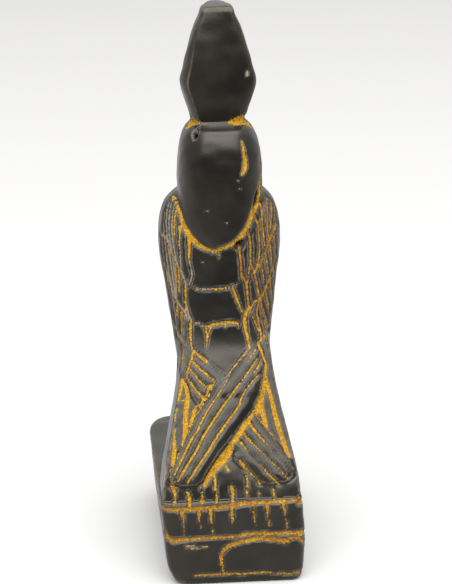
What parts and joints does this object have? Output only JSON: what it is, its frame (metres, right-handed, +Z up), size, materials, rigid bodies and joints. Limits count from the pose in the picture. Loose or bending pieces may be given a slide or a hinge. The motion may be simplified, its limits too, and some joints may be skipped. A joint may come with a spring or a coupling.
{
  "type": "falcon god statue",
  "caption": "Small carved black stone falcon god with a tall double crown, crossed wing tips and a thick base, with ochre rubbed into its grooves.",
  "frame": {"origin": "middle of the flat underside of the base", "axes": "+Z up along the statue, -Y the way the falcon faces, +X towards the falcon's left wing"},
  "size_m": [0.0382, 0.0712, 0.15],
  "materials": {
    "carved_stone": "waxed black stone with a satin gloss and yellow ochre rubbed into every groove"
  },
  "bodies": {
    "root": {"falcon_statue": "carved_stone"}
  },
  "joints": []
}
